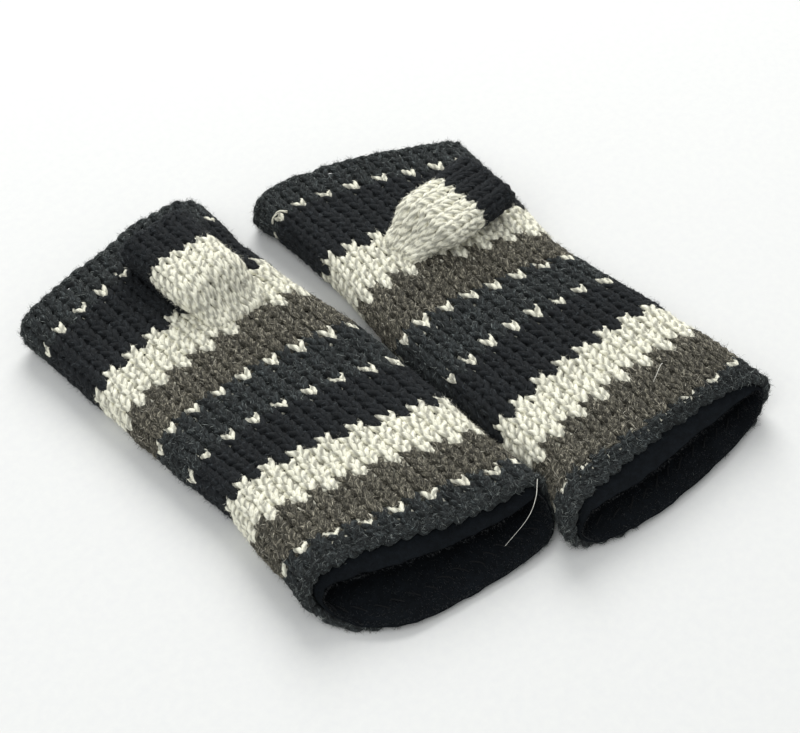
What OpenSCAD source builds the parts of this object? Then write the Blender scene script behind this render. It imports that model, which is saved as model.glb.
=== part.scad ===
// A pair of lined, hand-knitted fingerless gloves, lying side by side with their thumbs folded over.
// Each glove is a knitted tube of 36 stitches by 46 rounds. Every change of yarn is a node of its own,
// and two yarns meet in a round where they take turns, stitch by stitch.
// Values in pairs are the left glove's and the right glove's.

/* [Glove] */
// Length along the middle of a glove
glove_l = 198.5; // [180:0.5:230]
// Width of the tube lying flat
glove_w = 95; // [88:1:102]
// Height of the tube at its side edges
glove_h = 18.5; // [18.5:0.5:22]
// Extra height along the middle of the palm
crown_h = 2.5; // [1:0.5:5]
// Extra height of the open cuff
mouth_h = 5; // [2:0.5:10]

/* [Fabric] */
// Thickness of the knitted fabric
knit_t = 4.2; // [3.5:0.1:4.2]
// Thickness of the fleece lining
lining_t = 1.2; // [0.8:0.1:1.2]
// Room between the knitting and the lining
ease = 0.2; // [0.1:0.05:0.3]
// Radius of the sewing thread
thread_r = 0.3; // [0.2:0.05:0.35]

/* [Thumb] */
// Width of the thumb tube lying flat
thumb_w = 33; // [28:1:36]
// Thickness of the thumb tube lying flat
thumb_h = 16; // [16:0.5:17]
// Length of the thumb tube from the palm to its rim
thumb_l = 47; // [42:1:56]
// Radius of the thumb's fold, at the middle of the tube
fold_r = 8.8; // [8.8:0.2:11]

/* [Layout] */
// Middle of the left glove's cuff
left_at = [-54.4, -82.9]; // [-200:0.1:200]
// Middle of the right glove's cuff
right_at = [42.1, -111.9]; // [-200:0.1:200]
// Turn of the right glove against the left one
right_turn = -4; // [-5:0.5:0]

/* [Hidden] */
COLS = 36;
ROWS = 46;
THUMB_COLS = 14;
THUMB_ROWS = 11;
THUMB_BASE_ROWS = 3.6;
THUMB_CREAM_ROWS = 7;
COLLAR_GAP = 0.2;
PALM_CLEARANCE = 0.3;
STITCH_GAP = 0.1;
LEFT = 0;
RIGHT = 1;

// How far the cuff and the finger edge lean forward on the thumb's side
cuff_lean = [-12, -4];
finger_lean = [9, 18];
// How far the cuff's outer corners are pulled up the arm
corner_pull = [10, 0];
// How far the cuff's top stands back from its underside, and how that grows towards the thumb
lip = [3.5, 5];
lip_growth = [-4, 0];
// How far the rounds sag at the wrist's sides, and how far they are pushed towards the cuff
wrist_arch = [5, 3];
wrist_push = [0, 5];
// How the half width grows at the cuff and at the fingers, and shrinks at the waist
cuff_flare = [1.5, 4];
finger_flare = 2;
waist = [0, 4.5];
waist_place = [0.5, 0.6];
// How far the tube sways to the thumb's side, and where
sway = [3, 2.5];
sway_place = [0.3, 0.6];
// How far the rounded finger corner on the thumb's side drops back
FINGER_CORNER = 12;

// The thumb hole in the palm: its first stitch, its width in stitches and its two rounds
hole_start = [11, 10];
hole_cols = [2, 2];
hole_rounds = [[30, 33], [30, 33.5]];
// Which way the thumb lies on the palm, in degrees from across the glove
thumb_dir = [90, 174];

charcoal = [0.13, 0.14, 0.15];
black = [0.05, 0.05, 0.06];
brown = [0.28, 0.26, 0.23];
cream = [0.86, 0.85, 0.77];

PIECES = [
    "cuff_edge_knit", "cuff_fleck_stitches", "cuff_brown_knit", "cuff_cream_knit", "wrist_black_knit",
    "wrist_fleck_stitches", "palm_charcoal_knit", "palm_fleck_stitches", "palm_brown_knit",
    "palm_cream_knit", "finger_black_knit", "finger_fleck_stitches", "finger_edge_knit",
    "thumb_base_knit", "thumb_cream_knit", "thumb_black_knit",
    "fleece_lining", "thumb_fleece_lining",
    "cuff_hem_thread", "finger_hem_thread", "thumb_hem_thread"
];

// ---- The glove's surface: g is LEFT or RIGHT, and t runs from 0 at the cuff to 1 at the fingers ----

function bell(t, middle, reach) = exp(-pow((t - middle) / reach, 2));
function ease_in(t, from, to) = let (k = min(max((t - from) / (to - from), 0), 1)) k * k * (3 - 2 * k);
function half_w(g, t) = glove_w / 2 + cuff_flare[g] * bell(t, 0, 0.15) + finger_flare * bell(t, 1, 0.12)
    - waist[g] * bell(t, waist_place[g], 0.2);
function centre_x(g, t) = sway[g] * bell(t, sway_place[g], 0.17);
function side_r(t) = (glove_h + mouth_h * bell(t, 0, 0.3)) / 2;

// How far along the glove a stitch lies: across is -1 at the outer edge and 1 at the thumb's edge,
// and up is -1 on the underside and 1 on top
function along(g, t, across, up) =
    glove_l * t
    + across * (cuff_lean[g] + (finger_lean[g] - cuff_lean[g]) * ease_in(t, 0.2, 0.9))
    + up * (lip[g] + lip_growth[g] * across) * (1 - pow(across, 4)) * (1 - t)
    + corner_pull[g] * pow(across, 6) * pow(1 - t, 4)
    - FINGER_CORNER * pow((1 + across) / 2, 8) * pow(t, 4)
    - wrist_arch[g] * across * across * bell(t, 0.4, 0.22)
    - wrist_push[g] * bell(t, 0.28, 0.3);

// A point of a flattened tube's outline, a share u of the way round from its left side over the top,
// at a depth in from the surface. a is half the flat part's width and r the sides' radius.
function flat_tube(u, a, r, depth) =
    let (q = PI * r / 2, s = u * 4 * (a + q), in = r - depth, turn = 180 / PI / r)
    s < q ? [-a - in * cos(s * turn), r + in * sin(s * turn)]
    : s < q + 2 * a ? [s - q - a, r + in]
    : s < 3 * q + 2 * a ? [a + in * sin((s - q - 2 * a) * turn), r + in * cos((s - q - 2 * a) * turn)]
    : s < 3 * q + 4 * a ? [3 * a + 3 * q - s, r - in]
    : [-a - in * sin((s - 3 * q - 4 * a) * turn), r - in * cos((s - 3 * q - 4 * a) * turn)];

// The glove's wall in its own frame: u round the tube, row along it from the cuff, depth into it
function glove_point(g, u, row, depth) =
    let (
        t = row / ROWS,
        r = side_r(t),
        w = half_w(g, t),
        p = flat_tube(u, w - r, r, depth),
        across = p[0] / w,
        up = p[1] / r - 1
    )
    [
        centre_x(g, t) + p[0],
        along(g, t, across, up),
        p[1] + crown_h * (up + 1) / 2 * (1 - across * across)
    ];

// ---- The thumb's surface ----

function hole_middle(g) = (hole_start[g] + hole_cols[g] / 2) / COLS;
function thumb_root(g) =
    let (p = glove_point(g, hole_middle(g), (hole_rounds[g][0] + hole_rounds[g][1]) / 2, 0))
    [p[0], p[1], glove_h + crown_h + PALM_CLEARANCE];
function palm_z(g, x, y) =
    let (t = y / glove_l, across = (x - centre_x(g, t)) / half_w(g, t))
    2 * side_r(t) + crown_h * (1 - across * across);

// The thumb's wall: it rises from the palm, folds over and lies along thumb_dir. Rounds below 0 are
// the collar that meets the palm.
function thumb_point(g, u, row, depth) =
    let (
        s = max(row, 0) * thumb_l / THUMB_ROWS,
        bend = min(s / fold_r * 180 / PI, 90),
        past = max(s - fold_r * PI / 2, 0),
        r = thumb_h / 2,
        p = flat_tube(u, thumb_w / 2 - r, r, depth),
        out = fold_r * (1 - cos(bend)) + past - (p[1] - r) * cos(bend),
        up = fold_r * sin(bend) + (p[1] - r) * sin(bend),
        root = thumb_root(g),
        dir = thumb_dir[g],
        x = root[0] + out * cos(dir) + p[0] * sin(dir),
        y = root[1] + out * sin(dir) - p[0] * cos(dir)
    )
    [x, y, row < 0 ? palm_z(g, x, y) + COLLAR_GAP : root[2] + up];

// ---- Walls made of stitch cells ----

// A closed wall with n columns and the given has(column, band) cells. The points come in pairs of an
// outer and an inner one, round by round. Neighbouring walls share those points, so they meet exactly.
module wall(points, n, bands, has) {
    function o(c, j) = 2 * (j * n + c % n);
    function i(c, j) = o(c, j) + 1;
    function full(c, j) = j >= 0 && j < bands && has((c + n) % n, j);
    faces = [for (j = [0 : bands - 1], c = [0 : n - 1]) if (full(c, j)) each [
        [o(c, j), o(c, j + 1), o(c + 1, j + 1)],
        [o(c, j), o(c + 1, j + 1), o(c + 1, j)],
        [i(c, j), i(c + 1, j + 1), i(c, j + 1)],
        [i(c, j), i(c + 1, j), i(c + 1, j + 1)],
        if (!full(c, j - 1)) each
            [[o(c, j), o(c + 1, j), i(c + 1, j)], [o(c, j), i(c + 1, j), i(c, j)]],
        if (!full(c, j + 1)) each
            [[o(c + 1, j + 1), o(c, j + 1), i(c + 1, j + 1)], [o(c, j + 1), i(c, j + 1), i(c + 1, j + 1)]],
        if (!full(c - 1, j)) each
            [[o(c, j + 1), o(c, j), i(c, j)], [o(c, j + 1), i(c, j), i(c, j + 1)]],
        if (!full(c + 1, j)) each
            [[o(c + 1, j), o(c + 1, j + 1), i(c + 1, j)], [o(c + 1, j + 1), i(c + 1, j + 1), i(c + 1, j)]]
    ]];
    polyhedron(points, faces);
}

module glove_wall(g, rounds, outer, inner, has) {
    points = [for (row = rounds, c = [0 : COLS - 1], depth = [outer, inner])
        glove_point(g, c / COLS, row, depth)];
    wall(points, COLS, len(rounds) - 1, has);
}

module thumb_wall(g, rounds, outer, inner) {
    points = [for (row = rounds, c = [0 : THUMB_COLS - 1], depth = [outer, inner])
        thumb_point(g, c / THUMB_COLS, row, depth)];
    wall(points, THUMB_COLS, len(rounds) - 1, function(c, j) true);
}

function even(c) = c % 2 == 0;
function in_hole(g, c) = c >= hole_start[g] && c < hole_start[g] + hole_cols[g];

// Rounds of one yarn. first and last say which stitches it has in the rounds it shares at its ends:
// "even", "odd" or "all" of them.
module yarn_band(g, rounds, first = "all", last = "all") {
    bands = len(rounds) - 1;
    function picks(which, c) = which == "all" || (which == "even") == even(c);
    glove_wall(g, rounds, 0, knit_t, function(c, j)
        (j > 0 || picks(first, c)) && (j < bands - 1 || picks(last, c)));
}

module fleck_round(g, row) {
    color(cream) glove_wall(g, [row, row + 1], 0, knit_t, function(c, j) even(c));
}

// ---- The knitted bands, from the cuff to the fingers ----

module cuff_edge_knit(g) { color(charcoal) yarn_band(g, [0, 1.5, 3, 4], last = "odd"); }
module cuff_brown_knit(g) { color(brown) yarn_band(g, [4, 6, 8, 9], last = "odd"); }
module cuff_cream_knit(g) { color(cream) yarn_band(g, [8, 9, 11, 13, 14], "even", "even"); }
module wrist_black_knit(g) { color(black) yarn_band(g, [13, 14, 16.5, 19], first = "odd"); }
module palm_charcoal_knit(g) { color(charcoal) yarn_band(g, [19, 20, 22, 24, 25], "odd", "odd"); }
module finger_black_knit(g) { color(black) yarn_band(g, [34, 35, 38.5, 42], first = "odd"); }
module finger_edge_knit(g) { color(charcoal) yarn_band(g, [42, 43, 44.5, 46], first = "odd"); }

// The stitches in front of the thumb hole stay brown up to its edge
module palm_brown_knit(g) {
    color(brown) glove_wall(g, [25, 27, 29, 30], 0, knit_t, function(c, j)
        j < 2 || !even(c) || in_hole(g, c));
}

module palm_cream_knit(g) {
    hole = hole_rounds[g];
    color(cream) glove_wall(g, [29, hole[0], hole[1], 34, 35], 0, knit_t, function(c, j)
        j == 0 ? even(c) && !in_hole(g, c) : j == 1 ? !in_hole(g, c) : j == 2 || even(c));
}

// The thumb's base is sewn to the palm round the hole and holds the fold
module thumb_base_knit(g) {
    color(cream) thumb_wall(g, [-1, 0, 0.9, 1.8, 2.7, THUMB_BASE_ROWS], 0, knit_t);
}

module thumb_cream_knit(g) {
    color(cream) thumb_wall(g, [THUMB_BASE_ROWS, 5.3, THUMB_CREAM_ROWS], 0, knit_t);
}

module thumb_black_knit(g) {
    color(black) thumb_wall(g, [THUMB_CREAM_ROWS, 9, THUMB_ROWS], 0, knit_t);
}

// ---- The fleece lining: one sewn tube in the hand and one, half as thick, in the thumb ----

module fleece_lining(g) {
    hole = hole_rounds[g];
    rounds = [0.4, 1.5, 3, 4, 6, 8, 9, 11, 13, 14, 16.5, 19, 20, 22, 24, 25, 27, 29,
        hole[0], hole[1], 34, 35, 38.5, 42, 43, 44.5, 45.6];
    hole_band = search(hole[0], rounds)[0];
    color(black) glove_wall(g, rounds, knit_t + ease, knit_t + ease + lining_t,
        function(c, j) j != hole_band || !in_hole(g, c));
}

module thumb_fleece_lining(g) {
    color(black) thumb_wall(g, [THUMB_BASE_ROWS + 0.2, 6, 8.5, THUMB_ROWS - 0.4],
        knit_t + ease, knit_t + ease + lining_t / 2);
}

// ---- The sewing thread that holds the lining at each edge ----

module stitch(p, q) {
    d = q - p;
    translate(p) rotate([0, acos(d[2] / norm(d)), atan2(d[1], d[0])])
        cylinder(h = norm(d), r = thread_r, $fn = 16);
}

// One stitch at each column of the tube, on the lining's inner face, between two rounds
module glove_hem(g, from, to) {
    depth = knit_t + ease + lining_t + thread_r + STITCH_GAP;
    color(charcoal) for (c = [0 : COLS - 1])
        stitch(glove_point(g, c / COLS, from, depth), glove_point(g, c / COLS, to, depth));
}

module cuff_hem_thread(g) { glove_hem(g, 0.7, 1.5); }
module finger_hem_thread(g) { glove_hem(g, 44.4, 45.3); }

module thumb_hem_thread(g) {
    depth = knit_t + ease + lining_t / 2 + thread_r + STITCH_GAP;
    color(charcoal) for (c = [0 : THUMB_COLS - 1])
        stitch(thumb_point(g, c / THUMB_COLS, THUMB_ROWS - 1.5, depth),
            thumb_point(g, c / THUMB_COLS, THUMB_ROWS - 0.7, depth));
}

// ---- The pair ----

module piece(name, g) {
    if (name == "cuff_edge_knit") cuff_edge_knit(g);
    if (name == "cuff_fleck_stitches") fleck_round(g, 3);
    if (name == "cuff_brown_knit") cuff_brown_knit(g);
    if (name == "cuff_cream_knit") cuff_cream_knit(g);
    if (name == "wrist_black_knit") wrist_black_knit(g);
    if (name == "wrist_fleck_stitches") fleck_round(g, 19);
    if (name == "palm_charcoal_knit") palm_charcoal_knit(g);
    if (name == "palm_fleck_stitches") fleck_round(g, 24);
    if (name == "palm_brown_knit") palm_brown_knit(g);
    if (name == "palm_cream_knit") palm_cream_knit(g);
    if (name == "finger_black_knit") finger_black_knit(g);
    if (name == "finger_fleck_stitches") fleck_round(g, 42);
    if (name == "finger_edge_knit") finger_edge_knit(g);
    if (name == "thumb_base_knit") thumb_base_knit(g);
    if (name == "thumb_cream_knit") thumb_cream_knit(g);
    if (name == "thumb_black_knit") thumb_black_knit(g);
    if (name == "fleece_lining") fleece_lining(g);
    if (name == "thumb_fleece_lining") thumb_fleece_lining(g);
    if (name == "cuff_hem_thread") cuff_hem_thread(g);
    if (name == "finger_hem_thread") finger_hem_thread(g);
    if (name == "thumb_hem_thread") thumb_hem_thread(g);
}

// Both gloves are drawn with the thumb's edge on the right, and the right glove is then mirrored
module place(g) {
    if (g == LEFT)
        translate([left_at[0], left_at[1], 0]) children();
    else
        translate([right_at[0], right_at[1], 0]) rotate([0, 0, right_turn]) mirror([1, 0, 0])
            children();
}

for (name = PIECES) place(LEFT) piece(name, LEFT);
for (name = PIECES) place(RIGHT) piece(name, RIGHT);
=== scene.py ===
"""A pair of lined, hand-knitted fingerless gloves, knitted loop by loop over the CAD frame.

Lengths are in millimetres until a mesh is made. A glove is drawn in its own frame, with the thumb's
edge at +x, and place() lays it where the frame has it. Values in pairs are (left, right).
"""
import math

import bpy
import numpy as np
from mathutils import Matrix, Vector


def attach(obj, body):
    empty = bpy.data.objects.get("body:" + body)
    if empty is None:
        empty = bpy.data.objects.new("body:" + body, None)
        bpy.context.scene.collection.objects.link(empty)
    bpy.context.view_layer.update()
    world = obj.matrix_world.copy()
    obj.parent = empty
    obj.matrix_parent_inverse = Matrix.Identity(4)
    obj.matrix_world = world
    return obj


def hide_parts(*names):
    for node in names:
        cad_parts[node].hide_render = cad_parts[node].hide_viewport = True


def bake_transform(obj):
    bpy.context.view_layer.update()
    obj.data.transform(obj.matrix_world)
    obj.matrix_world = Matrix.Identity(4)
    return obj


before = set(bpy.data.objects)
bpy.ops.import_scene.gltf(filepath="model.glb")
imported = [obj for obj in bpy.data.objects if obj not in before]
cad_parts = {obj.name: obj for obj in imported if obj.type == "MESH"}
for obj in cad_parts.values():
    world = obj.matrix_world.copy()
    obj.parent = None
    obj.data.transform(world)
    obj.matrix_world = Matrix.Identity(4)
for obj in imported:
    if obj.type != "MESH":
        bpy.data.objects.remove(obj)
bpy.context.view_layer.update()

LEFT, RIGHT = 0, 1
SIDES = ("left", "right")
MM = 0.001
TURN = 2 * math.pi
rng = np.random.default_rng(46)

# ---- Sizes of the gloves, the same as in the CAD source ----

COLS, ROWS = 36, 46    # stitches round a glove, and rounds along it
THUMB_COLS, THUMB_ROWS = 14, 11
GLOVE_L, GLOVE_W, GLOVE_H = 198.5, 95.0, 18.5  # length, and the width and height lying flat
CROWN_H, MOUTH_H = 2.5, 5.0  # extra height along the middle, and at the open cuff
THUMB_W, THUMB_H, THUMB_L = 33.0, 16.0, 47.0
FOLD_R = 8.8           # radius of the thumb's fold, at the middle of the tube
PALM_CLEARANCE = 0.3
LINING_T = 1.2         # thickness of the fleece
PLACE = ((-54.4, -82.9), (42.1, -111.9))  # the middle of each cuff
RIGHT_TURN = math.radians(-4)

# How far the cuff and the finger edge lean forward on the thumb's side
CUFF_LEAN, FINGER_LEAN = (-12, -4), (9, 18)
# How far the cuff's outer corners are pulled up the arm, and how far the finger corner drops back
CORNER_PULL, FINGER_CORNER = (10, 0), 12
# How far the cuff's top stands back from its underside, and how that grows towards the thumb
LIP, LIP_GROWTH = (3.5, 5), (-4, 0)
# How far the rounds sag at the wrist's sides, and how far they are pushed towards the cuff
WRIST_ARCH, WRIST_PUSH = (5, 3), (0, 5)
# How the half width grows at the cuff and at the fingers, and shrinks at the waist
CUFF_FLARE, FINGER_FLARE = (1.5, 4), 2
WAIST, WAIST_PLACE = (0, 4.5), (0.5, 0.6)
# How far the tube sways to the thumb's side, and where
SWAY, SWAY_PLACE = (3, 2.5), (0.3, 0.6)
# The thumb hole in the palm: its first stitch, its width in stitches and its two rounds
HOLE_START, HOLE_COLS, HOLE_ROUNDS = (11, 10), 2, ((30, 33), (30, 33.5))
THUMB_DIR = (math.radians(90), math.radians(174))  # which way the thumb lies on the palm

# ---- How the soft gloves lie, where they leave the plain shape of the CAD solids ----

CURL_ROWS = 5.0        # the rounds of the cuff's top that sag
CURL_BACK, CURL_DROP = (6.5, 11), (2.5, 4.5)  # how far its edge sags back and down
CURL_PAST = 1.6        # how much the sag may grow past the edge, for the lining's lip
CURL_LEAN = (-0.95, 0.6)  # how much less the cuff's edge goes back at the outer side
CURL_STRETCH = (0, 14)  # how far the rounds behind the sagging edge are drawn out towards it
STRETCH_ROW, STRETCH_REACH = 4.5, 2.8
# How the inner sides swell towards each other: amount, place along the glove and reach of each bulge
SWELLS = (((5.0, 0.52, 0.14),), ((7.0, 0.0, 0.08), (2.6, 0.3, 0.12), (5.0, 0.53, 0.12)))
CUFF_REACH = 9.0       # how much further the left cuff's underside reaches than its top
RIGHT_CORNER = 6.0     # how far the right cuff's inner corner lies back
THUMB_FLAT = 0.82      # how flat the soft thumb lies, as a share of its CAD solid's height
THUMB_GATHER = ((0.88, 0.88), (0.45, 0.85))  # the width of its two sides at the root, as a share
THUMB_WIDEN = 0.08     # how much wider its end is
THUMB_SHIFT = ((-2.9, 2.6), (0.0, 0.0))  # how far it slips aside as it folds over

# ---- The yarn ----

YARN_R = 1.34          # radius of the brown, charcoal and black yarns
YARN_SIDES = 8
LOOP_STEPS = 14        # rings of yarn in each stitch
LEG_SPREAD = 0.25      # how far a loop's legs lean, in stitches
LEG_PINCH = 0.05       # how much closer its two legs stand to each other than to the next loop's
CUFF_IN = 0.15         # how far inside the cuff's bound edge the first loops start, in rounds
LOOP_H = 0.88          # half a loop's height, in rounds
LOOP_DEPTH = 2.05      # how deep the yarn's middle lies on average
LOOP_SWING = 0.75      # how far it goes in and out of the fabric
HEAD_DROP = 0.45       # how much deeper a loop's head lies than its feet
WALE = 0.3             # how deep the furrows between the columns of stitches are
DEEPEST = 3.15         # the yarn's middle lies no deeper than this, so that it clears the lining
TAIL, TAIL_DROP = 0.16, 1.6  # how far a single stitch's ends run on, and how fast they sink
PLY_BULGE = 0.11       # how much the twisted plies stand out
PLY_TURN = TURN / 9.0  # twist of the plies, in radians per millimetre
EDGE_STEPS = 12        # rings of yarn in each stitch of a bound edge
EDGE_OUT = 0.12        # how far a bound edge stands out, in rounds
EDGE_IN = 0.05         # how far its middle lies inside the tube's end, in rounds
EDGE_ROUND = 1.1       # how far it goes in and out of the fabric
EDGE_DEEPER = 0.15     # how much deeper than the loops its middle lies
EDGE_SWAY = 0.12       # how far it leans in a stitch
EDGE_THIN = 0.95       # its radius and its number of fibres, as shares of the knitting's
EDGE_FIBRES = 3.0
CORE_IN, CORE_DEEPER = 0.2, 0.5  # where the straight yarn inside it lies
UNEVEN_ACROSS = 0.13   # how uneven the hand knitting is: in stitches, in rounds and in depth
UNEVEN_ALONG = 0.2
UNEVEN_DEEP = 0.34
WAVE = 0.7             # slow waves of the whole cloth, and the stitches and rounds in one of them
GLOVE_WAVE_COLS, THUMB_WAVE_COLS, WAVE_ROWS = 4, 3.5, 3.5
GLOVE_SEEDS, THUMB_SEEDS = (100, 150), (300, 350)
LINING_SEEDS, THUMB_LINING_SEEDS = (900, 901), (950, 951)
THUMB_FIRST = -2       # the thumb's loops may start this far inside the palm, in rounds
FLOOR_SOFT = 1.2       # yarn below this height is pressed flat by the glove's weight

# ---- The lining ----

LINING_MID = 5.2       # how deep the lining's middle lies
LINING_START = -0.35   # its first row at the cuff's sides
LINING_OUT, LINING_UNDER = 0.7, 0.65  # how much further it looks out above and below, in rounds
LINING_LAST = 45.95    # its last row
LIP_ROW = 0.3          # the row from which it droops above and rolls over below, and how steeply
LIP_DROOP, LIP_ROLL = 1.1, 1.9
LUMP, THUMB_LUMP = 0.3, 0.1  # how uneven the glove's and the thumb's lining is
LINING_END = 0.012     # the share of its length in which its thickness rounds off
THUMB_LINING_MID, THUMB_LINING_T = 4.75, 0.6
THUMB_LINING_FIRST, THUMB_LINING_LAST = 3.8, 10.95
THUMB_LINING_END = 0.03
NAP_COUNT = 5000       # fibres of the lining's nap at a cuff
NAP_LENGTH, NAP_WIDTH = 0.9, 0.07


# ---- Surfaces ----

def bell(t, middle, reach):
    """1 at the middle, falling off towards 0 beyond the reach."""
    return np.exp(-((t - middle) / reach) ** 2)


def ease_in(t, start, end):
    """0 up to the start, 1 from the end on, and smooth between them."""
    k = np.clip((t - start) / (end - start), 0, 1)
    return k * k * (3 - 2 * k)


def half_w(g, t):
    """Half the width of a glove, where t runs from 0 at the cuff to 1 at the fingers."""
    flare = CUFF_FLARE[g] * bell(t, 0, 0.15) + FINGER_FLARE * bell(t, 1, 0.12)
    return GLOVE_W / 2 + flare - WAIST[g] * bell(t, WAIST_PLACE[g], 0.2)


def centre_x(g, t):
    """How far the middle of a glove sways to the thumb's side."""
    return SWAY[g] * bell(t, SWAY_PLACE[g], 0.17)


def side_r(t):
    """The radius of a glove's round side edges."""
    return (GLOVE_H + MOUTH_H * bell(t, 0, 0.3)) / 2


def along(g, t, across, up):
    """How far along the glove a stitch lies; across is 1 at the thumb's edge, and up is 1 on top."""
    lean = CUFF_LEAN[g] + (FINGER_LEAN[g] - CUFF_LEAN[g]) * ease_in(t, 0.2, 0.9)
    y = GLOVE_L * t + across * lean
    y = y + up * (LIP[g] + LIP_GROWTH[g] * across) * (1 - across ** 4) * (1 - t)
    y = y + CORNER_PULL[g] * across ** 6 * (1 - t) ** 4
    y = y - FINGER_CORNER * ((1 + across) / 2) ** 8 * t ** 4
    y = y - WRIST_ARCH[g] * across ** 2 * bell(t, 0.4, 0.22)
    return y - WRIST_PUSH[g] * bell(t, 0.28, 0.3)


def flat_tube(u, a, r, depth):
    """A point of a flattened tube, a share u of the way round it from its left side over the top."""
    quarter = math.pi * r / 2
    s = (u % 1.0) * 4 * (a + quarter)
    inner = r - depth
    first, second, third = quarter, quarter + 2 * a, 3 * quarter + 2 * a
    fourth = 3 * quarter + 4 * a
    turns = (s / r, (s - second) / r, (s - fourth) / r)
    zones = (s < first, s < second, s < third, s < fourth)
    x = np.select(zones, (-a - inner * np.cos(turns[0]), s - first - a,
                          a + inner * np.sin(turns[1]), 3 * a + 3 * quarter - s),
                  -a - inner * np.sin(turns[2]))
    z = np.select(zones, (r + inner * np.sin(turns[0]), r + inner,
                          r + inner * np.cos(turns[1]), r - inner),
                  r - inner * np.cos(turns[2]))
    return x, z


def cuff_curl(g, row, across, up):
    """How far the cuff's top moves along the glove, and up: it sags back and down, most at its edge."""
    near = np.clip((CURL_ROWS - row) / CURL_ROWS, 0, CURL_PAST) ** 2
    top = np.clip(up, 0, 1) ** 2 * (1 - across ** 4)
    back = CURL_BACK[g] * near * top * (1 - CURL_LEAN[g] * ease_in(-across, -0.2, 0.9))
    stretch = CURL_STRETCH[g] * bell(row, STRETCH_ROW, STRETCH_REACH) * top * (1 - across) / 2
    return back - stretch, -CURL_DROP[g] * near * top


def inner_side(g, t, across, up):
    """How far the inner side, next to the other glove, swells out, and how far the cuff moves along."""
    near = np.clip((1 + across) / 2, 0, 1)
    out = sum(amount * bell(t, place_along, reach) for amount, place_along, reach in SWELLS[g])
    if g == LEFT:
        forward = -CUFF_REACH * np.clip(0.4 - up, 0, 1) * ease_in(across, -1.2, -0.4)
    else:
        forward = RIGHT_CORNER * near ** 5
    return out * near ** 2, forward * bell(t, 0, 0.12)


def glove_surface(g, u, row, depth):
    """Points of the glove's wall: u round the tube, row along it from the cuff, depth into it."""
    u, row, depth = np.broadcast_arrays(np.asarray(u, float), row, depth)
    t = row / ROWS
    r = side_r(t)
    w = half_w(g, t)
    x, z = flat_tube(u, w - r, r, depth)
    across = x / w
    up = z / r - 1
    back, lift = cuff_curl(g, row, across, up)
    out, corner = inner_side(g, t, across, up)
    points = np.stack((centre_x(g, t) + x + out, along(g, t, across, up) + back + corner,
                       z + CROWN_H * (up + 1) / 2 * (1 - across ** 2) + lift), axis=-1)
    return place(g, points)


def thumb_root(g):
    """Where the thumb rises from the palm: just over the middle of its hole."""
    u = (HOLE_START[g] + HOLE_COLS / 2) / COLS
    t = sum(HOLE_ROUNDS[g]) / 2 / ROWS
    r = side_r(t)
    w = half_w(g, t)
    x, z = flat_tube(np.asarray(u), w - r, r, 0)
    return (float(centre_x(g, t) + x), float(along(g, t, x / w, z / r - 1)),
            GLOVE_H + CROWN_H + PALM_CLEARANCE)


def thumb_surface(g, u, row, depth):
    """Points of the thumb's wall, which rises from the palm, folds over and lies along THUMB_DIR."""
    u, row, depth = np.broadcast_arrays(np.asarray(u, float), row, depth)
    s = row * THUMB_L / THUMB_ROWS
    bend = np.clip(s / (FOLD_R * math.pi / 2), 0, 1)
    past = np.maximum(s - FOLD_R * math.pi / 2, 0)
    r = THUMB_H / 2
    p, q = flat_tube(u, THUMB_W / 2 - r, r, depth)
    gather = np.where(p < 0, *THUMB_GATHER[g])
    p = p * (gather + (1 - gather) * ease_in(bend, 0, 1) + THUMB_WIDEN * past / THUMB_L)
    out = FOLD_R * bend + past - (q - r) * (1 - bend)
    up = (FOLD_R + q - r) * THUMB_FLAT * (1 - np.cos(math.pi * bend)) / 2 + np.minimum(s, 0)
    x0, y0, z0 = thumb_root(g)
    c, d = math.cos(THUMB_DIR[g]), math.sin(THUMB_DIR[g])
    x = x0 + out * c + p * d + THUMB_SHIFT[g][0] * bend
    y = y0 + out * d - p * c + THUMB_SHIFT[g][1] * bend
    return place(g, np.stack((x, y, z0 + up), axis=-1))


def place(g, p):
    """From a glove's own frame to the pair's. The right glove is mirrored and turned a little."""
    x, y, z = p[..., 0], p[..., 1], p[..., 2]
    if g == RIGHT:
        c, s = math.cos(RIGHT_TURN), math.sin(RIGHT_TURN)
        x, y = -x * c - y * s, -x * s + y * c
    return np.stack((x + PLACE[g][0], y + PLACE[g][1], z), axis=-1)


def settled(z):
    """Heights with everything near or below the floor pressed flat on it."""
    return np.where(z < FLOOR_SOFT, FLOOR_SOFT * np.exp(np.minimum(z / FLOOR_SOFT - 1, 0)), z)


# ---- Meshes ----

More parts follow.
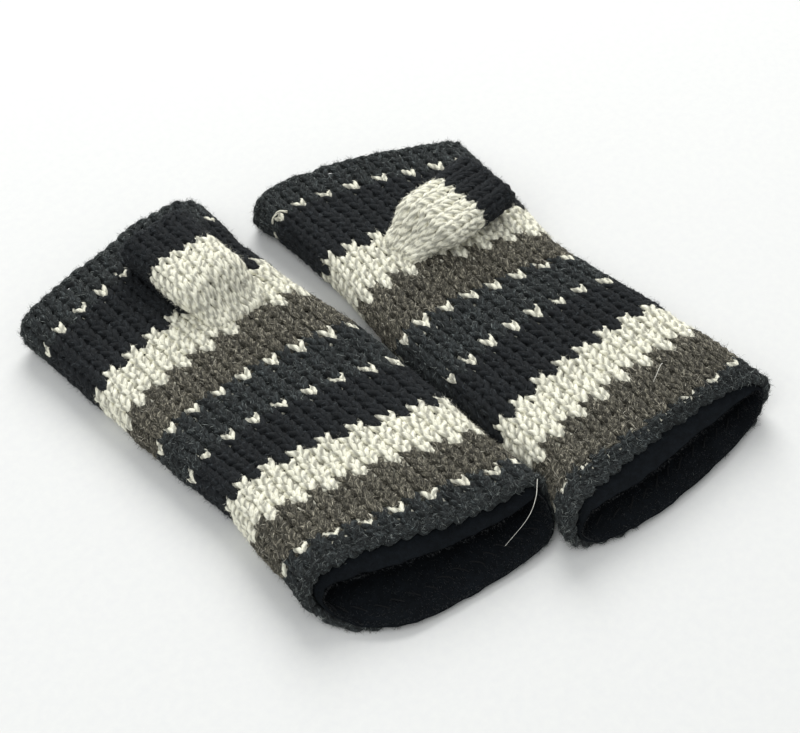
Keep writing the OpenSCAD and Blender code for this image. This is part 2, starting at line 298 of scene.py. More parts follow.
class Build:
    """Gathers vertices, faces, their material and their vertex values, and makes one object of them."""

    def __init__(self):
        self.points, self.faces, self.slots = [], [], []
        self.yarn, self.tone = [], []
        self.size = 0

    def add(self, points, faces, slot=0, yarn=None, tone=None):
        points = points.reshape(-1, 3)
        n = len(points)
        self.points.append(points)
        self.yarn.append(np.zeros((n, 3)) if yarn is None else yarn.reshape(-1, 3))
        self.tone.append(np.full(n, 0.5) if tone is None else tone.reshape(-1))
        for f in faces:
            self.faces.append(f + self.size)
            self.slots.append(np.full(len(f), slot))
        self.size += n

    def make(self, name, materials):
        mesh = bpy.data.meshes.new(name)
        points = np.concatenate(self.points)
        points[:, 2] = settled(points[:, 2])
        points = points * MM
        mesh.vertices.add(len(points))
        mesh.vertices.foreach_set("co", points.astype(np.float32).ravel())
        sides = np.concatenate([np.full(len(f), f.shape[1]) for f in self.faces])
        corners = np.concatenate([f.ravel() for f in self.faces])
        mesh.loops.add(len(corners))
        mesh.loops.foreach_set("vertex_index", corners.astype(np.int32))
        mesh.polygons.add(len(sides))
        starts = np.concatenate(([0], np.cumsum(sides)[:-1]))
        mesh.polygons.foreach_set("loop_start", starts.astype(np.int32))
        mesh.polygons.foreach_set("material_index", np.concatenate(self.slots).astype(np.int32))
        mesh.polygons.foreach_set("use_smooth", np.ones(len(sides), bool))
        values = mesh.attributes.new("yarn", "FLOAT_VECTOR", "POINT")
        values.data.foreach_set("vector", np.concatenate(self.yarn).astype(np.float32).ravel())
        values = mesh.attributes.new("tone", "FLOAT", "POINT")
        values.data.foreach_set("value", np.concatenate(self.tone).astype(np.float32))
        mesh.update(calc_edges=True)
        mesh.validate()
        for material in materials:
            mesh.materials.append(material)
        obj = bpy.data.objects.new(name, mesh)
        bpy.context.scene.collection.objects.link(obj)
        return obj


def unit(v):
    return v / np.maximum(np.linalg.norm(v, axis=-1, keepdims=True), 1e-9)


def grid_faces(rings, sides, closed, base=0):
    """Quads between rings of the given number of sides."""
    ring = np.arange(rings if closed else rings - 1)
    side = np.arange(sides)
    i, j = np.meshgrid(ring, side, indexing="ij")
    i2, j2 = (i + 1) % rings, (j + 1) % sides
    quads = np.stack((i * sides + j, i * sides + j2, i2 * sides + j2, i2 * sides + j), axis=-1)
    return quads.reshape(-1, 4) + base


def add_tubes(build, centres, outward, radius, closed, sides=YARN_SIDES):
    """Yarn round every line of centres (lines, rings, 3). outward is the fabric's normal there."""
    lines, rings = centres.shape[:2]
    if closed:
        tangent = np.roll(centres, -1, 1) - np.roll(centres, 1, 1)
        step = np.linalg.norm(np.roll(centres, -1, 1) - centres, axis=-1)
    else:
        tangent = np.gradient(centres, axis=1)
        step = np.linalg.norm(np.diff(centres, axis=1, append=centres[:, -1:]), axis=-1)
    tangent = unit(tangent)
    across = unit(np.cross(tangent, outward))
    normal = np.cross(across, tangent)
    length = np.cumsum(step, axis=1) - step + rng.uniform(0, 900, (lines, 1))
    angle = np.arange(sides) * TURN / sides
    twisted = angle - (length * PLY_TURN)[..., None]
    r = np.broadcast_to(radius, (lines, rings))[..., None] * (1 + PLY_BULGE * np.cos(2 * twisted))
    points = (centres[:, :, None] + normal[:, :, None] * (r * np.cos(angle))[..., None]
              + across[:, :, None] * (r * np.sin(angle))[..., None])
    yarn = np.stack((np.broadcast_to(length[..., None], twisted.shape),
                     np.cos(twisted), np.sin(twisted)), axis=-1)
    faces = [np.concatenate([grid_faces(rings, sides, closed, k * rings * sides)
                             for k in range(lines)])]
    if not closed:
        first = np.arange(sides)[::-1]
        caps = [k * rings * sides + np.stack((first, first[::-1] + (rings - 1) * sides))
                for k in range(lines)]
        faces.append(np.concatenate(caps))
    build.add(points, faces, yarn=yarn)
    return tangent, across, normal


def add_fuzz(build, roots, normal, tangent, across, length, width, slot=1):
    """A thin, arched, pointed fibre at each root. Its tip bends back towards the cloth."""
    n = len(roots)
    lean = rng.normal(0, 1.0, (n, 2))
    way = unit(normal * rng.uniform(0.1, 0.9, (n, 1)) + tangent * lean[:, :1] + across * lean[:, 1:])
    long = length * rng.uniform(0.4, 1.5, (n, 1))
    bent = unit(way + unit(rng.normal(0, 1, (n, 3))) * 0.6 - normal * rng.uniform(0, 0.8, (n, 1)))
    middle = roots + way * long * 0.5
    tip = middle + bent * long * 0.5
    side = unit(np.cross(way, bent) + 0.2 * rng.normal(0, 1, (n, 3))) * width
    points = np.stack((roots - side, roots + side, middle - side, middle + side, tip), axis=1)
    base = (np.arange(n) * 5)[:, None]
    build.add(points, [base + np.array([[0, 1, 3, 2]]), base + np.array([[2, 3, 4]])], slot, None,
              np.repeat(rng.uniform(0, 1, n), 5))


# ---- Knitting ----

def lattice_noise(shape, c, row, seed):
    """Smooth random values in -1..1 at places (c, row), repeating every shape[1] and shape[0]."""
    values = np.random.default_rng(seed).uniform(-1, 1, shape)
    i, j = np.floor(row).astype(int), np.floor(c).astype(int)
    a, b = row - i, c - j
    a, b = a * a * (3 - 2 * a), b * b * (3 - 2 * b)

    def at(di, dj):
        return values[(i + di) % shape[0], (j + dj) % shape[1]]

    low = at(0, 0) * (1 - b) + at(0, 1) * b
    high = at(1, 0) * (1 - b) + at(1, 1) * b
    return low * (1 - a) + high * a


class Tube:
    """One knitted tube.

    It has its surface, its glove, its stitches round, the row where its loops start, the stitches in
    one of the cloth's slow waves, and the seed of its unevenness.
    """

    def __init__(self, surface, g, cols, first, wave_cols, seed):
        self.surface, self.g, self.cols, self.first = surface, g, cols, first
        self.wave_cols, self.seed = wave_cols, seed

    def at(self, c, row, depth, uneven=True):
        """Points at stitch places (c, row). The slow waves are there with or without unevenness."""
        c, row, depth = np.broadcast_arrays(np.asarray(c, float), row, depth)
        waves = (14, int(self.cols / self.wave_cols))
        depth = depth - WAVE * lattice_noise(waves, c / self.wave_cols, row / WAVE_ROWS, self.seed)
        if uneven:
            shape = (64, self.cols)
            c = c + UNEVEN_ACROSS * lattice_noise(shape, c, row, self.seed + 1)
            row = row + UNEVEN_ALONG * lattice_noise(shape, c, row, self.seed + 2)
            depth = depth + UNEVEN_DEEP * lattice_noise(shape, c, row, self.seed + 3)
        return self.surface(self.g, c / self.cols, row, depth)

    def lines(self, c, row, depth):
        """Points at stitch places, and which way is out of the cloth there."""
        points = self.at(c, row, depth)
        return points, unit(self.at(c, row, depth - 1.0) - points)


def add_fibres_on(build, tube_frame, phase, radius, per_ring, length, widths):
    """A halo of fibres on the front of the yarn whose frame is (centres, tangent, across, normal)."""
    front = np.flatnonzero(np.abs(np.sin(phase)).ravel() > 0.35)
    count = int(per_ring * len(front))
    pick = rng.choice(front, count)
    centre, tangent, across, normal = [v.reshape(-1, 3)[pick] for v in tube_frame]
    angle = rng.normal(0, 0.8, (count, 1))
    out = normal * np.cos(angle) + across * np.sin(angle)
    roots = centre + out * radius * 0.92 + tangent * rng.uniform(-0.5, 0.5, (count, 1))
    add_fuzz(build, roots, out, tangent, np.cross(tangent, out), length, widths)


def knit(build, tube, rounds, yarn, stitches=None, sunk=0.0):
    """Knits rounds in a yarn: whole rounds, or only the given stitches of each.

    t is the way through the loops, one turn for each stitch, and sunk is extra depth.
    """
    rounds = np.asarray(rounds, float)
    if stitches is None:
        t = np.arange(tube.cols * LOOP_STEPS)[None, :] / LOOP_STEPS * TURN
        start, row = 0.0, rounds[:, None]
        over = np.zeros_like(t)
    else:
        t = np.linspace(-TAIL, 1 + TAIL, LOOP_STEPS + 3)[None, :] * TURN
        start = np.tile(stitches, len(rounds))[:, None].astype(float)
        row = np.repeat(rounds, len(stitches))[:, None]
        over = np.abs(t - np.clip(t, 0, TURN))
        t = np.clip(t, 0, TURN)
    c = start + t / TURN + LEG_SPREAD * np.sin(2 * t) + LEG_PINCH * np.sin(t)
    y = np.maximum(row + 0.5 - LOOP_H * np.cos(t), tube.first)
    depth = LOOP_DEPTH + LOOP_SWING * np.cos(2 * t) + HEAD_DROP * (1 - np.cos(t)) / 2
    depth = depth + TAIL_DROP * over + WALE * np.cos(TURN * c) + sunk
    if yarn["sink"]:
        depth = depth + yarn["sink"] * rng.uniform(0, 1.5, (len(row), 1)) ** 2
    depth = np.minimum(depth, DEEPEST)
    centres, outward = tube.lines(c, y, depth)
    t = np.broadcast_to(t, centres.shape[:2])
    thick = yarn["radius"] * (1 + 0.05 * np.sin(2 * t + 1.1))
    frame_of = add_tubes(build, centres, outward, thick, stitches is None)
    add_fibres_on(build, (centres,) + frame_of, t, yarn["radius"], yarn["fibres"], yarn["fibre_l"],
                  yarn["fibre_r"])


def chain_edge(build, tube, row, yarn, way):
    """The bound edge: yarn wound once round the edge at every stitch, over a straight yarn inside it.

    way is 1 at a tube's far end and -1 at the cuff.
    """
    t = np.arange(tube.cols * EDGE_STEPS)[None, :] / EDGE_STEPS * TURN
    core, outward = tube.lines(t / TURN, row - CORE_IN * way, LOOP_DEPTH + CORE_DEEPER)
    add_tubes(build, core, outward, yarn["radius"], True)
    c = t / TURN + EDGE_SWAY * np.sin(t)
    y = row + way * (EDGE_OUT * np.cos(t) - EDGE_IN)
    depth = LOOP_DEPTH + EDGE_DEEPER - EDGE_ROUND * np.sin(t)
    centres, outward = tube.lines(c, y, depth)
    frame_of = add_tubes(build, centres, outward, yarn["radius"] * EDGE_THIN, True)
    all_round = np.full(t.shape, math.pi / 2)
    add_fibres_on(build, (centres,) + frame_of, all_round, yarn["radius"], yarn["fibres"] * EDGE_FIBRES,
                  yarn["fibre_l"], yarn["fibre_r"])


def shell(build, tube, c, row, outer, inner, full):
    """Cloth between two depths of a tube, on a grid of places c and row (rows, columns), where full."""
    m, n = c.shape
    points = np.concatenate([tube.at(c, row, depth, False).reshape(-1, 3) for depth in (outer, inner)])

    def front(i, j):
        return i * n + j % n

    def back(i, j):
        return front(i, j) + n * m

    def quads(mask, *corners):
        i, j = np.nonzero(mask)
        return np.stack([side(i + di, j + dj) for side, di, dj in corners], axis=-1)

    framed = np.zeros((m + 1, n), bool)
    framed[1:m] = full
    faces = [
        quads(full, (front, 0, 0), (front, 1, 0), (front, 1, 1), (front, 0, 1)),
        quads(full, (back, 0, 0), (back, 0, 1), (back, 1, 1), (back, 1, 0)),
        quads(full & ~framed[:m - 1], (front, 0, 0), (front, 0, 1), (back, 0, 1), (back, 0, 0)),
        quads(full & ~framed[2:], (front, 1, 0), (back, 1, 0), (back, 1, 1), (front, 1, 1)),
        quads(full & ~np.roll(full, 1, 1), (front, 0, 0), (back, 0, 0), (back, 1, 0), (front, 1, 0)),
        quads(full & ~np.roll(full, -1, 1), (front, 0, 1), (front, 1, 1), (back, 1, 1), (back, 0, 1)),
    ]
    build.add(points, [f for f in faces if len(f)])


# ---- Materials ----

def colour(r, g, b):
    """A colour given as it looks on a screen, 0 to 255, as the linear values that Blender takes."""
    def linear(value):
        return ((value / 255 + 0.055) / 1.055) ** 2.4 if value > 10 else value / 255 / 12.92

    return linear(r), linear(g), linear(b), 1


class Nodes:
    """Builds a material's node tree."""

    def __init__(self, name):
        self.material = bpy.data.materials.new(name)
        self.material.use_nodes = True
        self.tree = self.material.node_tree
        self.shader = self.tree.nodes["Principled BSDF"]

    def add(self, kind, inputs=(), **settings):
        node = self.tree.nodes.new(kind)
        for key, value in settings.items():
            setattr(node, key, value)
        for key, value in dict(inputs).items():
            self.set(node, key, value)
        return node

    def set(self, node, key, value):
        if isinstance(value, bpy.types.NodeSocket):
            self.tree.links.new(value, node.inputs[key])
        else:
            node.inputs[key].default_value = value

    def scaled(self, vector, factors):
        return self.add("ShaderNodeVectorMath", {0: vector, 1: factors}, operation="MULTIPLY").outputs[0]

    def noise(self, vector, scale, detail, roughness=0.6):
        return self.add("ShaderNodeTexNoise", {"Vector": vector, "Scale": scale, "Detail": detail,
                                               "Roughness": roughness}).outputs["Fac"]

    def maths(self, operation, a, b):
        return self.add("ShaderNodeMath", {0: a, 1: b}, operation=operation).outputs[0]

    def spread(self, value, low, high, to_low, to_high):
        return self.add("ShaderNodeMapRange", {"Value": value, "From Min": low, "From Max": high,
                                               "To Min": to_low, "To Max": to_high}).outputs[0]

    def ramp(self, value, stops):
        node = self.add("ShaderNodeValToRGB", {"Fac": value})
        elements = node.color_ramp.elements
        while len(elements) < len(stops):
            elements.new(0.5)
        for element, (place_on_ramp, rgba) in zip(elements, stops):
            element.position = place_on_ramp
            element.color = rgba
        return node.outputs["Color"]

    def times(self, shade, value):
        """The colour made lighter or darker by value."""
        grey = self.add("ShaderNodeCombineColor", {0: value, 1: value, 2: value}).outputs[0]
        mix = self.add("ShaderNodeMix", {"Factor": 1.0, 6: shade, 7: grey}, data_type="RGBA",
                       blend_type="MULTIPLY")
        return mix.outputs[2]

    def finish(self, base, height, distance, strength, roughness, sheen, sheen_tint, specular=0.25):
        """Links the colour and the bump, sets the shader's values and returns the material."""
        bump = self.add("ShaderNodeBump", {"Height": height, "Distance": distance, "Strength": strength})
        self.set(self.shader, "Base Color", base)
        self.set(self.shader, "Normal", bump.outputs[0])
        self.set(self.shader, "Roughness", roughness)
        self.set(self.shader, "Sheen Weight", sheen)
        self.set(self.shader, "Sheen Roughness", 0.5)
        self.set(self.shader, "Sheen Tint", sheen_tint)
        self.set(self.shader, "Specular IOR Level", specular)
        return self.material


def wool(name, stops, painted_ply_shade, blotch, streak_scale, sheen):
    """Spun yarn: streaks of fibre along the twisted plies, painted shade between the plies, slowly
    varying.
    """
    n = Nodes(name)
    yarn = n.add("ShaderNodeAttribute", attribute_name="yarn").outputs["Vector"]
    streak = n.noise(n.scaled(yarn, (0.42, 2.1, 2.1)), streak_scale, 4.0, 0.62)
    speck = n.noise(n.scaled(yarn, (1.1, 4.2, 4.2)), streak_scale, 2.0, 0.5)
    around = n.add("ShaderNodeSeparateXYZ", {0: yarn}).outputs[1]
    ridge = n.maths("MULTIPLY", around, around)
    place_in_m = n.add("ShaderNodeTexCoord").outputs["Object"]
    slow = n.noise(place_in_m, 55.0, 2.0)
    mixed = n.maths("ADD", n.maths("MULTIPLY", streak, 0.62), n.maths("MULTIPLY", speck, 0.38))
    base = n.ramp(n.spread(mixed, 0.3, 0.7, 0.0, 1.0), stops)
    # Painted shade: the colour is darkened in the grooves between the twisted plies.
    base = n.times(base, n.spread(ridge, 0.0, 0.6, painted_ply_shade, 1.0))
    base = n.times(base, n.spread(slow, 0.3, 0.7, 1 - blotch, 1 + blotch))
    height = n.maths("ADD", mixed, n.maths("MULTIPLY", ridge, 0.5))
    return n.finish(base, height, 0.0004, 0.6, 0.88, sheen, stops[-1][1])


def fibre(name, stops):
    """Loose single fibres. Each has its own tone."""
    n = Nodes(name)
    tone = n.add("ShaderNodeAttribute", attribute_name="tone").outputs["Fac"]
    place_in_m = n.add("ShaderNodeTexCoord").outputs["Object"]
    grain = n.noise(place_in_m, 900.0, 2.0)
    base = n.times(n.ramp(tone, stops), n.spread(grain, 0.3, 0.7, 0.85, 1.15))
    return n.finish(base, grain, 0.0001, 0.2, 0.7, 0.1, (1, 1, 1, 1), 0.4)


def fleece_cloth(name, dark, light):
    """Short brushed pile: clumped nap over a knitted ground."""
    n = Nodes(name)
    place_in_m = n.add("ShaderNodeTexCoord").outputs["Object"]
    clump = n.noise(place_in_m, 420.0, 4.0, 0.65)
    nap = n.noise(n.scaled(place_in_m, (1.0, 0.45, 1.0)), 2400.0, 2.0, 0.7)
    slow = n.noise(place_in_m, 60.0, 2.0)
    both = n.maths("ADD", n.maths("MULTIPLY", clump, 0.5), n.maths("MULTIPLY", nap, 0.5))
    base = n.ramp(n.spread(both, 0.35, 0.65, 0.0, 1.0), [(0.0, dark), (1.0, light)])
    base = n.times(base, n.spread(slow, 0.3, 0.7, 0.85, 1.2))
    return n.finish(base, both, 0.0006, 0.7, 0.95, 0.08, light, 0.08)


# The first number after each wool's colours is how dark the painted shade between its plies leaves it.
CREAM = wool("cream_wool", [(0.0, colour(168, 164, 140)), (0.3, colour(218, 215, 195)),
                            (0.65, colour(240, 239, 222)), (1.0, colour(252, 252, 240))],
             0.42, 0.06, 1.5, 0.1)
BROWN = wool("brown_wool", [(0.0, colour(20, 19, 16)), (0.4, colour(50, 49, 42)),
                            (0.58, colour(83, 80, 70)), (0.76, colour(156, 151, 134)),
                            (1.0, colour(216, 211, 194))], 0.4, 0.25, 1.45, 0.15)
CHARCOAL = wool("charcoal_wool", [(0.0, colour(9, 10, 11)), (0.42, colour(24, 27, 28)),
                                  (0.6, colour(42, 46, 47)), (0.8, colour(78, 85, 85)),
                                  (1.0, colour(132, 140, 138))], 0.45, 0.25, 1.45, 0.15)
BLACK = wool("black_wool", [(0.0, colour(9, 11, 13)), (0.5, colour(20, 23, 26)),
                            (0.8, colour(35, 39, 41)), (1.0, colour(60, 66, 69))],
             0.6, 0.15, 1.6, 0.2)
CREAM_FIBRE = fibre("cream_fibre", [(0.0, colour(205, 202, 182)), (1.0, colour(252, 251, 240))])
BROWN_FIBRE = fibre("brown_fibre", [(0.0, colour(24, 23, 19)), (0.5, colour(64, 61, 52)),
                                    (0.78, colour(140, 135, 119)), (1.0, colour(228, 223, 206))])
CHARCOAL_FIBRE = fibre("charcoal_fibre", [(0.0, colour(14, 16, 16)), (0.5, colour(48, 53, 52)),
                                          (0.82, colour(100, 108, 105)), (1.0, colour(180, 187, 182))])
BLACK_FIBRE = fibre("black_fibre", [(0.0, colour(9, 11, 13)), (0.7, colour(33, 38, 41)),
                                    (1.0, colour(80, 88, 93))])
FLEECE = fleece_cloth("black_fleece", colour(8, 10, 12), colour(18, 22, 26))
FLEECE_FIBRE = fibre("fleece_fibre", [(0.0, colour(7, 9, 11)), (1.0, colour(24, 29, 33))])
# The first number after the thread's colours is how dark the painted shade between its plies leaves it.
THREAD = wool("hem_thread", [(0.0, colour(6, 7, 8)), (1.0, colour(24, 27, 30))], 0.5, 0.05, 2.5, 0.05)

# Each yarn: its two materials, its slot in the record, its radius, its fibres' number for each ring of
# yarn, length and radius, and how far single loops sink
YARNS = {
    "cream": dict(materials=(CREAM, CREAM_FIBRE), slot="cream_wool", radius=1.4, fibres=5.0,
                  fibre_l=1.8, fibre_r=0.035, sink=0),
    "fleck": dict(materials=(CREAM, CREAM_FIBRE), slot="cream_wool", radius=1.22, fibres=2.0,
                  fibre_l=1.4, fibre_r=0.035, sink=0.4),
    "brown": dict(materials=(BROWN, BROWN_FIBRE), slot="brown_wool", radius=YARN_R, fibres=4.0,
                  fibre_l=2.3, fibre_r=0.05, sink=0),
    "charcoal": dict(materials=(CHARCOAL, CHARCOAL_FIBRE), slot="charcoal_wool", radius=YARN_R,
                     fibres=3.8, fibre_l=2.2, fibre_r=0.045, sink=0),
    "black": dict(materials=(BLACK, BLACK_FIBRE), slot="black_wool", radius=YARN_R, fibres=6.0,
                  fibre_l=2.1, fibre_r=0.045, sink=0),
}

# ---- The gloves ----

EVEN, ODD = np.arange(0, COLS, 2), np.arange(1, COLS, 2)
FLECK_CREASE = (0.0, 1.9)  # how deep the cuff's flecks lie hidden in the crease above its edge
CREASE_COL, CREASE_REACH = 11, 3.6  # the stitch where it is deepest, and how far it reaches
BLACK_BAND = (14.0, 19.0)  # the rows where the wrist's whole black rounds start and end
FOLD_OUT = 10.7        # how far past its root the thumb's fold ends
# The rows where the hem stitches start and end
CUFF_HEM, FINGER_HEM, THUMB_HEM = (0.5, 1.4), (44.5, 45.3), (9.6, 10.4)
HEM_R = 0.3            # radius of the hem thread
HEM_STEPS = 9          # its rings in each stitch


def outside_hole(g, stitches, inside=False):
    """The stitches beside the thumb hole, or those in its columns."""
    in_columns = (stitches >= HOLE_START[g]) & (stitches < HOLE_START[g] + HOLE_COLS)
    return stitches[in_columns] if inside else stitches[~in_columns]


def band(tube, name, side, yarn_name, body, parts, edge=None, sunk=0.0):
    """One band of knitting, in place of the CAD node of its name.

    parts are (rounds, stitches), and edge (row, way) adds a bound edge. A band without a body is left
    unattached here.
    """
    yarn = YARNS[yarn_name]
    build = Build()
    for rounds, stitches in parts:
        knit(build, tube, rounds, yarn, stitches, sunk)
    if edge:
        chain_edge(build, tube, edge[0], yarn, edge[1])
    obj = build.make(side + "_" + name, yarn["materials"])
    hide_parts(side + "_" + name)
    if body:
        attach(obj, side + "_" + body)
    return obj


def glove_bands(g, tube):
    """The bands from the cuff to the fingers, in stitches and rounds counted from the cuff's edge."""
    side = SIDES[g]
    every = np.arange(COLS)
    hole = range(30, 33)
    band(tube, "cuff_edge_knit", side, "charcoal", "cuff", [(range(0, 3), None), ([3], ODD)], (0, -1))
    creased = FLECK_CREASE[g] * bell(EVEN, CREASE_COL, CREASE_REACH)[:, None]
    band(tube, "cuff_fleck_stitches", side, "fleck", "cuff", [([3], EVEN)], sunk=creased)
    band(tube, "cuff_brown_knit", side, "brown", "cuff", [(range(4, 8), None), ([8], ODD)])
    band(tube, "cuff_cream_knit", side, "cream", "cuff",
         [([8], EVEN), (range(9, 13), None), ([13], EVEN)])
    wrist = band(tube, "wrist_black_knit", side, "black", None, [([13], ODD), (range(14, 19), None)])
    wrist_span(g)
    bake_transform(wrist)
    band(tube, "wrist_fleck_stitches", side, "fleck", "hand", [([19], EVEN)])
    band(tube, "palm_charcoal_knit", side, "charcoal", "hand",
         [([19], ODD), (range(20, 24), None), ([24], ODD)])
    band(tube, "palm_fleck_stitches", side, "fleck", "hand", [([24], EVEN)])
    under_hole = np.union1d(ODD, outside_hole(g, every, inside=True))
    band(tube, "palm_brown_knit", side, "brown", "hand", [(range(25, 29), None), ([29], under_hole)])
    band(tube, "palm_cream_knit", side, "cream", "hand",
         [([29], outside_hole(g, EVEN)), (hole, outside_hole(g, every)), ([33], None), ([34], EVEN)])
    band(tube, "finger_black_knit", side, "black", "hand", [([34], ODD), (range(35, 42), None)])
    band(tube, "finger_fleck_stitches", side, "fleck", "hand", [([42], EVEN)])
    band(tube, "finger_edge_knit", side, "charcoal", "hand", [([42], ODD), (range(43, 46), None)],
         (ROWS, 1))


def wrist_span(g):
    """Where the wrist's black band starts and ends, on the glove's underside."""
    underside = 0.75
    ends = [glove_surface(g, underside, row, 0.0) * MM for row in BLACK_BAND]
    middle = (ends[0] + ends[1]) / 2
    along_glove = place(g, np.array([0.0, 1.0, 0.0])) - place(g, np.zeros(3))
    half = float(np.dot(ends[1] - ends[0], along_glove)) / 2
    return tuple(middle - along_glove * half), tuple(middle + along_glove * half)


def thumb_span(g):
    """Where the thumb's fold starts, at the palm, and ends, over it."""
    root = np.array(thumb_root(g))
    way = np.array([math.cos(THUMB_DIR[g]), math.sin(THUMB_DIR[g]), 0.0])
    end = root + way * FOLD_OUT + np.array([0.0, 0.0, FOLD_R])
    return tuple(place(g, root) * MM), tuple(place(g, end) * MM)


def thumb_bands(g, tube):
    """The thumb's bands, in rounds counted from the palm. The first round starts inside the palm."""
    side = SIDES[g]
    base = band(tube, "thumb_base_knit", side, "cream", None, [(range(-1, 4), None)])
    thumb_span(g)
    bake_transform(base)
    band(tube, "thumb_cream_knit", side, "cream", "thumb", [(range(4, 7), None)])
    band(tube, "thumb_black_knit", side, "black", "thumb", [(range(7, 11), None)], (THUMB_ROWS, 1))


def lining_first(c):
    """The lining's first row. It looks out of the cuff, most of all below the cuff's top."""
    top = np.sin(c / COLS * TURN)
    return LINING_START - LINING_OUT * np.clip(top, 0, 1) - LINING_UNDER * np.clip(-top, 0, 1)


def lining_depth(c, row):
    """The middle of the lining: it droops below the cuff's top and rolls over the cuff's underside."""
    top = np.sin(c / COLS * TURN)
    past = np.clip(LIP_ROW - row, 0, 2)
    return LINING_MID + past * np.where(top > 0, LIP_DROOP, LIP_ROLL) * top


def rounded(share, edge):
    """Half a cloth's thickness, as a share, which rounds off towards its two ends."""
    near = np.clip(np.minimum(share, 1 - share) / edge, 0, 1)
    return np.sqrt(np.clip(1 - (1 - near) ** 2, 0.03, 1))


def end_spaced(count, first):
    """Shares from 0 to 1, closer together at the two ends."""
    ends = np.array([0.0, 0.2, 0.6]) * first
    return np.concatenate((ends, np.linspace(first, 1 - first, count), 1 - ends[::-1]))


def lining(g, tube):
    """The glove's fleece lining, with a hole for the thumb, and the nap at its two ends."""
    side = SIDES[g]
    share, c = np.meshgrid(end_spaced(150, LINING_END), np.arange(0, COLS, 0.25), indexing="ij")
    first = lining_first(c)
    row = first + (LINING_LAST - first) * share
    lumps = lattice_noise((128, COLS * 2), c * 2, row * 2, LINING_SEEDS[g])
    middle = lining_depth(c, row) + LUMP * lumps
    half = LINING_T / 2 * rounded(share, LINING_END)
    mid_c = c[:-1] + 0.125
    mid_row = (row[:-1] + row[1:]) / 2
    hole = ((mid_c > HOLE_START[g]) & (mid_c < HOLE_START[g] + HOLE_COLS)
            & (mid_row > HOLE_ROUNDS[g][0]) & (mid_row < HOLE_ROUNDS[g][1]))
    build = Build()
    shell(build, tube, c, row, middle - half, middle + half, ~hole)
    cloth = build.make(side + "_fleece_lining", (FLEECE,))
    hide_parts(side + "_fleece_lining")
    wrist_span(g)
    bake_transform(cloth)

    cuff_c = rng.uniform(0, COLS, NAP_COUNT)
    cuff_row = lining_first(cuff_c) + rng.uniform(0, 1, NAP_COUNT) ** 1.6 * 5
    end_c = rng.uniform(0, COLS, NAP_COUNT // 4)
    end_row = LINING_LAST - rng.uniform(0, 2, NAP_COUNT // 4)
    for name, body, at_c, at_row in (("cuff", "cuff", cuff_c, cuff_row),
                                     ("finger", "hand", end_c, end_row)):
        nap = Build()
        add_nap(nap, tube, at_c, at_row, lining_depth(at_c, at_row) + LINING_T / 2)
        piece = nap.make(side + "_" + name + "_nap", (FLEECE_FIBRE,))
        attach(piece, side + "_" + body)


def add_nap(build, tube, c, row, depth):
    """The lining's brushed pile: short fibres that stand on its inner face."""
    roots = tube.at(c, row, depth, False)
    inward = unit(tube.at(c, row, depth + 1.0, False) - roots)
    along_tube = unit(tube.at(c, row + 0.2, depth, False) - roots)
    sideways = np.cross(inward, along_tube)
    add_fuzz(build, roots, inward, along_tube, sideways, NAP_LENGTH, NAP_WIDTH, slot=0)


def thumb_lining(g, tube):
    """The thumb's fleece lining, a short tube of thinner cloth."""
    side = SIDES[g]
    share, c = np.meshgrid(end_spaced(30, THUMB_LINING_END), np.arange(0, THUMB_COLS, 0.25),
                           indexing="ij")
    row = THUMB_LINING_FIRST + (THUMB_LINING_LAST - THUMB_LINING_FIRST) * share
    lumps = lattice_noise((64, THUMB_COLS * 2), c * 2, row * 2, THUMB_LINING_SEEDS[g])
    middle = THUMB_LINING_MID + THUMB_LUMP * lumps
    half = THUMB_LINING_T / 2 * rounded(share, THUMB_LINING_END)
    full = np.ones((len(c) - 1, c.shape[1]), bool)
    build = Build()
    shell(build, tube, c, row, middle - half, middle + half, full)
    cloth = build.make(side + "_thumb_fleece_lining", (FLEECE,))
    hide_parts(side + "_thumb_fleece_lining")
    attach(cloth, side + "_thumb")


def hem(g, tube, name, body, rows, inner):
    """Slanting hem stitches, which catch the lining's inner face at each column."""
    first, last = rows
    build = Build()
    t = np.linspace(0, 1, HEM_STEPS)[None, :]
    start = np.arange(tube.cols)[:, None]
    c = start + 0.15 + 0.7 * t
    row = first + (last - first) * t
    depth = inner + 0.25 - 0.9 * (2 * t - 1) ** 4
    centres, outward = tube.lines(c, row, depth)
    add_tubes(build, centres, -outward, HEM_R, False, sides=6)
    piece = build.make(SIDES[g] + "_" + name, (THREAD,))
    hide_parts(SIDES[g] + "_" + name)
    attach(piece, SIDES[g] + "_" + body)


for g in (LEFT, RIGHT):
    glove = Tube(glove_surface, g, COLS, CUFF_IN, GLOVE_WAVE_COLS, GLOVE_SEEDS[g])
    thumb = Tube(thumb_surface, g, THUMB_COLS, THUMB_FIRST, THUMB_WAVE_COLS, THUMB_SEEDS[g])
    glove_bands(g, glove)
    thumb_bands(g, thumb)
    lining(g, glove)
    thumb_lining(g, thumb)
    hem(g, glove, "cuff_hem_thread", "cuff", CUFF_HEM, LINING_MID + LINING_T / 2)
    hem(g, glove, "finger_hem_thread", "hand", FINGER_HEM, LINING_MID + LINING_T / 2)
    hem(g, thumb, "thumb_hem_thread", "thumb", THUMB_HEM, THUMB_LINING_MID + THUMB_LINING_T / 2)


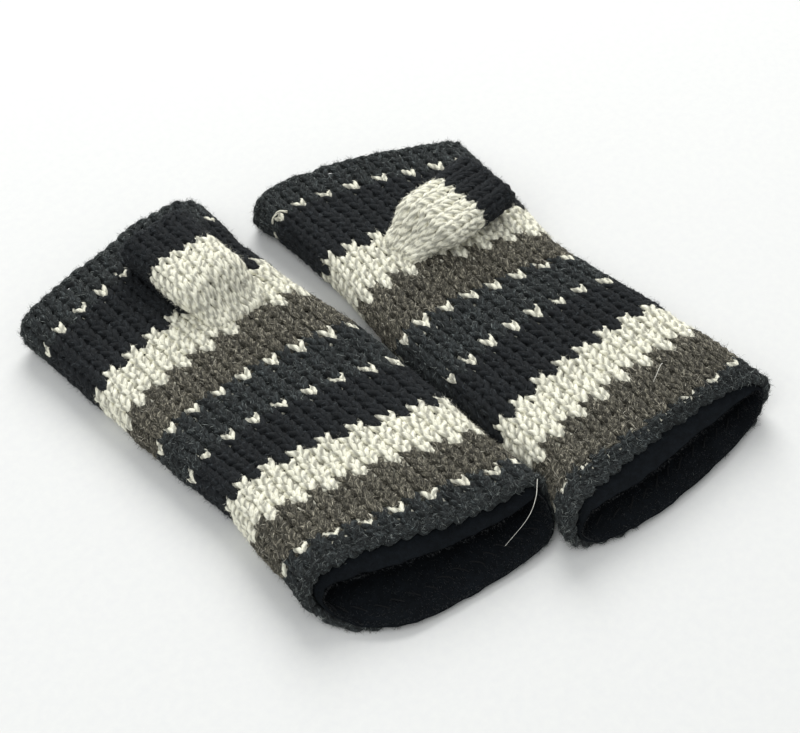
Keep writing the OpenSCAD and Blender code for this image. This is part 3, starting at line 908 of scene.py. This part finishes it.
def loose_strand(name, side, body, material, points, radius, end_radius):
    """A hair or a yarn end that follows a smooth line through a few points, in millimetres."""
    light_tone = 0.95
    knots = np.array(points, float)
    t = np.linspace(0, len(knots) - 1, 28)
    k = np.clip(t.astype(int), 0, len(knots) - 2)
    f = (t - k)[:, None]
    slope = np.gradient(knots, axis=0)
    line = ((2 * f ** 3 - 3 * f ** 2 + 1) * knots[k] + (f ** 3 - 2 * f ** 2 + f) * slope[k]
            + (3 * f ** 2 - 2 * f ** 3) * knots[k + 1] + (f ** 3 - f ** 2) * slope[k + 1])
    build = Build()
    thick = np.linspace(radius, end_radius, len(line))[None, :]
    upward = np.broadcast_to([0.0, 0.0, 1.0], line.shape)
    add_tubes(build, line[None], upward[None], thick, False, sides=6)
    build.tone = [np.full(build.size, light_tone)]
    piece = build.make(side + "_" + name, (material,))
    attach(piece, side + "_" + body)


def on_glove(g, c, row, height):
    """A point at a height over the glove's stitches."""
    return glove_surface(g, c / COLS, row, -height)


loose_strand("loose_hair", "left", "cuff", CREAM_FIBRE,
             [on_glove(LEFT, 16.1, -0.3, 0.2), (-15.4, -92.0, 18.3), (-21.5, -94.0, 13.3),
              (-32.7, -94.2, 7.3)], 0.13, 0.05)
loose_strand("band_hair", "right", "cuff", CREAM_FIBRE,
             [on_glove(RIGHT, 6.0, 7.3, 0.2), on_glove(RIGHT, 6.6, 6.9, 2.2),
              on_glove(RIGHT, 7.8, 6.3, 2.0)], 0.11, 0.05)
loose_strand("yarn_end", "right", "hand", CREAM,
             [on_glove(RIGHT, 15.8, 42.0, -0.8), on_glove(RIGHT, 16.2, 42.4, 1.2),
              on_glove(RIGHT, 16.7, 42.7, 1.2), on_glove(RIGHT, 17.1, 42.6, 0.6)], 0.6, 0.35)

# ---- Floor, light and camera ----

WORLD_LIGHT = 0.62
FLOOR_REACH = 6.0


def paper_material():
    n = Nodes("white_paper")
    place_in_m = n.add("ShaderNodeTexCoord").outputs["Object"]
    grain = n.noise(place_in_m, 300.0, 2.0)
    base = n.ramp(grain, [(0.3, colour(212, 213, 212)), (0.7, colour(215, 216, 214))])
    return n.finish(base, grain, 0.0001, 0.05, 0.8, 0.0, (1, 1, 1, 1), 0.2)


def add_floor():
    mesh = bpy.data.meshes.new("floor")
    corners = [(x * FLOOR_REACH, y * FLOOR_REACH, 0) for x, y in ((-1, -1), (1, -1), (1, 1), (-1, 1))]
    mesh.from_pydata(corners, [], [(0, 1, 2, 3)])
    mesh.materials.append(paper_material())
    floor = bpy.data.objects.new("floor", mesh)
    bpy.context.scene.collection.objects.link(floor)


def look_at(obj, target):
    direction = Vector(target) - obj.location
    obj.rotation_euler = direction.to_track_quat("-Z", "Y").to_euler()


def add_light(name, place_m, size, watts, tint):
    light = bpy.data.lights.new(name, "AREA")
    light.shape = "DISK"
    light.size = size
    light.energy = watts
    light.color = tint
    obj = bpy.data.objects.new(name, light)
    obj.location = place_m
    bpy.context.scene.collection.objects.link(obj)
    look_at(obj, (0, 0, 0))


def add_world():
    world = bpy.data.worlds.new("studio")
    world.use_nodes = True
    sky = world.node_tree.nodes["Background"]
    sky.inputs["Color"].default_value = (0.985, 0.993, 1.0, 1)
    sky.inputs["Strength"].default_value = WORLD_LIGHT
    bpy.context.scene.world = world


def add_camera():
    data = bpy.data.cameras.new("camera")
    data.lens, data.sensor_width = 72.0, 36.0
    data.clip_start, data.clip_end = 0.05, 50.0
    camera = bpy.data.objects.new("camera", data)
    azimuth, elevation, distance = math.radians(-43.0), math.radians(49.5), 0.644
    target = Vector((0.0021, -0.0012, 0.0))
    back = Vector((math.sin(azimuth) * math.cos(elevation), -math.cos(azimuth) * math.cos(elevation),
                   math.sin(elevation)))
    camera.location = target + back * distance
    bpy.context.scene.collection.objects.link(camera)
    look_at(camera, target)
    bpy.context.scene.camera = camera


add_floor()
add_world()
add_light("key", (0.95, 1.15, 1.35), 1.4, 36.0, (1.0, 0.995, 0.985))
add_light("fill", (-1.0, -0.2, 1.6), 1.6, 13.0, (0.97, 0.985, 1.0))
add_camera()
bpy.context.scene.view_settings.view_transform = "Standard"
